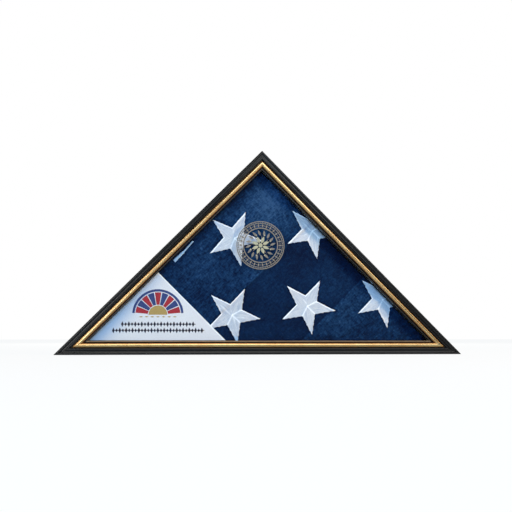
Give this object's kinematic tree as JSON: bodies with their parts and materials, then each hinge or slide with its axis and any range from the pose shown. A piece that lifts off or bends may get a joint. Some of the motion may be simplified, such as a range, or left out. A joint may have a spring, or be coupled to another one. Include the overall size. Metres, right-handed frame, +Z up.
{
  "type": "folded flag display case",
  "caption": "Triangular wooden display case with a glazed gilt and black moulding, a folded flag inside, and a lift-out back held by turn buttons.",
  "frame": {"origin": "centre of the underside, half way from the front of the moulding to the rear bumpers", "axes": "+X along the long side to the viewer's right, +Y from the glass to the back, +Z up"},
  "size_m": [0.6598, 0.0962, 0.33],
  "materials": {
    "lacquer": "glossy black lacquer on moulded wood",
    "gilt": "worn gold leaf on a wooden bead",
    "glass": "clear polished float glass",
    "spacer": "matt black",
    "box_lacquer": "satin black lacquer",
    "steel": "bright wire",
    "flag_cloth": "navy blue woven cotton",
    "star_thread": "white embroidery",
    "card": "smooth white card",
    "hardboard": "brown hardboard, smooth side out",
    "brass": "plated, lightly brushed",
    "nickel": "nickel plated steel",
    "bumper": "soft matt rubber"
  },
  "bodies": {
    "root": {"moulding_left": "lacquer", "moulding_right": "lacquer", "moulding_base": "lacquer", "bead_left": "gilt", "bead_right": "gilt", "bead_base": "gilt", "glass_pane": "glass", "spacer_left": "spacer", "spacer_right": "spacer", "spacer_base": "spacer", "wall_left": "box_lacquer", "wall_right": "box_lacquer", "wall_base": "box_lacquer", "corner_v_nails": "steel", "corner_pins": "steel", "folded_flag": "flag_cloth", "flag_stars": "star_thread", "corner_card": "card", "turn_button_screws": "brass", "hanger_strap_left": "nickel", "hanger_strap_right": "nickel", "hanger_screws": "nickel", "wall_bumpers": "bumper"},
    "back": {"back_panel": "hardboard"},
    "button_left": {"turn_button_left": "brass"},
    "button_right": {"turn_button_right": "brass"},
    "button_base_left": {"turn_button_base_left": "brass"},
    "button_base_right": {"turn_button_base_right": "brass"},
    "ring_left": {"hanger_ring_left": "nickel"},
    "ring_right": {"hanger_ring_right": "nickel"}
  },
  "joints": [
    {"name": "back_panel_slide", "type": "slide", "parent": "root", "child": "back", "axis": [0, 1, 0], "range_m": [0, 0.08]},
    {"name": "button_left_turn", "type": "hinge", "parent": "root", "child": "button_left", "pos_m": [-0.16882, 0.0437, 0.15234], "axis": [0, -1, 0], "range_deg": [0, 90]},
    {"name": "button_right_turn", "type": "hinge", "parent": "root", "child": "button_right", "pos_m": [0.16882, 0.0437, 0.15234], "axis": [0, 1, 0], "range_deg": [0, 90]},
    {"name": "button_base_left_turn", "type": "hinge", "parent": "root", "child": "button_base_left", "pos_m": [-0.15, 0.0437, 0.00625], "axis": [0, -1, 0], "range_deg": [0, 90]},
    {"name": "button_base_right_turn", "type": "hinge", "parent": "root", "child": "button_base_right", "pos_m": [0.15, 0.0437, 0.00625], "axis": [0, 1, 0], "range_deg": [0, 90]},
    {"name": "ring_left_swing", "type": "hinge", "parent": "root", "child": "ring_left", "pos_m": [-0.06276, 0.04508, 0.2584], "axis": [-0.7071, 0, 0.7071], "range_deg": [0, 175]},
    {"name": "ring_right_swing", "type": "hinge", "parent": "root", "child": "ring_right", "pos_m": [0.06276, 0.04508, 0.2584], "axis": [-0.7071, 0, -0.7071], "range_deg": [0, 175]}
  ]
}
